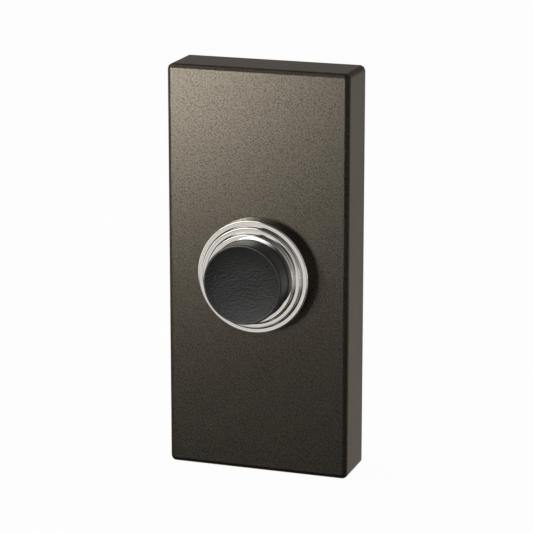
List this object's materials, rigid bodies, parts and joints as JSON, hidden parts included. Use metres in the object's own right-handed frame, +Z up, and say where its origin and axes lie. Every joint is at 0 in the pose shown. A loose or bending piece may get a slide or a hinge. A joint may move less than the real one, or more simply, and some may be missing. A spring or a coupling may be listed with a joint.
{
  "type": "doorbell push button",
  "caption": "Rectangular surface-mounted bell push with a round dished spring button in a stepped chrome collar, on a screwed wall plate with bell-wire terminals.",
  "frame": {"origin": "midway between the two wall-screw holes, on the wall plane and on the button's axis", "axes": "+Z up, +X right seen from the front, +Y into the wall, so the front looks along -Y"},
  "size_m": [0.032, 0.0168, 0.07],
  "materials": {
    "cover": "fine textured dark bronze powder coat",
    "wall_plate": "zinc plated sheet, satin",
    "collar": "polished chrome over turned brass",
    "plated_steel": "bright zinc plated",
    "lock_nut": "turned brass, satin",
    "contact_base": "black phenolic moulding, satin",
    "contact_brass": "rolled brass strip, satin",
    "contact_rivet": "brass, bright head",
    "push_button": "black, fine grained face and satin sides",
    "grub_screw": "blackened steel",
    "spring": "bright spring wire"
  },
  "bodies": {
    "housing": {"cover": "cover", "mounting_plate": "wall_plate", "grub_screw": "grub_screw", "collar": "collar", "lock_washer": "plated_steel", "lock_nut": "lock_nut", "contact_base": "contact_base", "return_spring": "spring", "base_screw_upper": "plated_steel", "contact_strip_upper": "contact_brass", "contact_rivet_upper": "contact_rivet", "terminal_screw_upper": "plated_steel", "terminal_clamp_upper": "plated_steel", "terminal_nut_upper": "plated_steel", "base_screw_lower": "plated_steel", "contact_strip_lower": "contact_brass", "contact_rivet_lower": "contact_rivet", "terminal_screw_lower": "plated_steel", "terminal_clamp_lower": "plated_steel", "terminal_nut_lower": "plated_steel"},
    "button": {"push_button": "push_button", "contact_bridge": "contact_brass", "bridge_screw": "plated_steel"}
  },
  "joints": [
    {"name": "button_press", "type": "slide", "parent": "housing", "child": "button", "axis": [0, 1, 0], "range_m": [0, 0.0015], "stiffness_N_per_m": 600, "springref_m": -0.003, "deforming": ["return_spring"]}
  ]
}
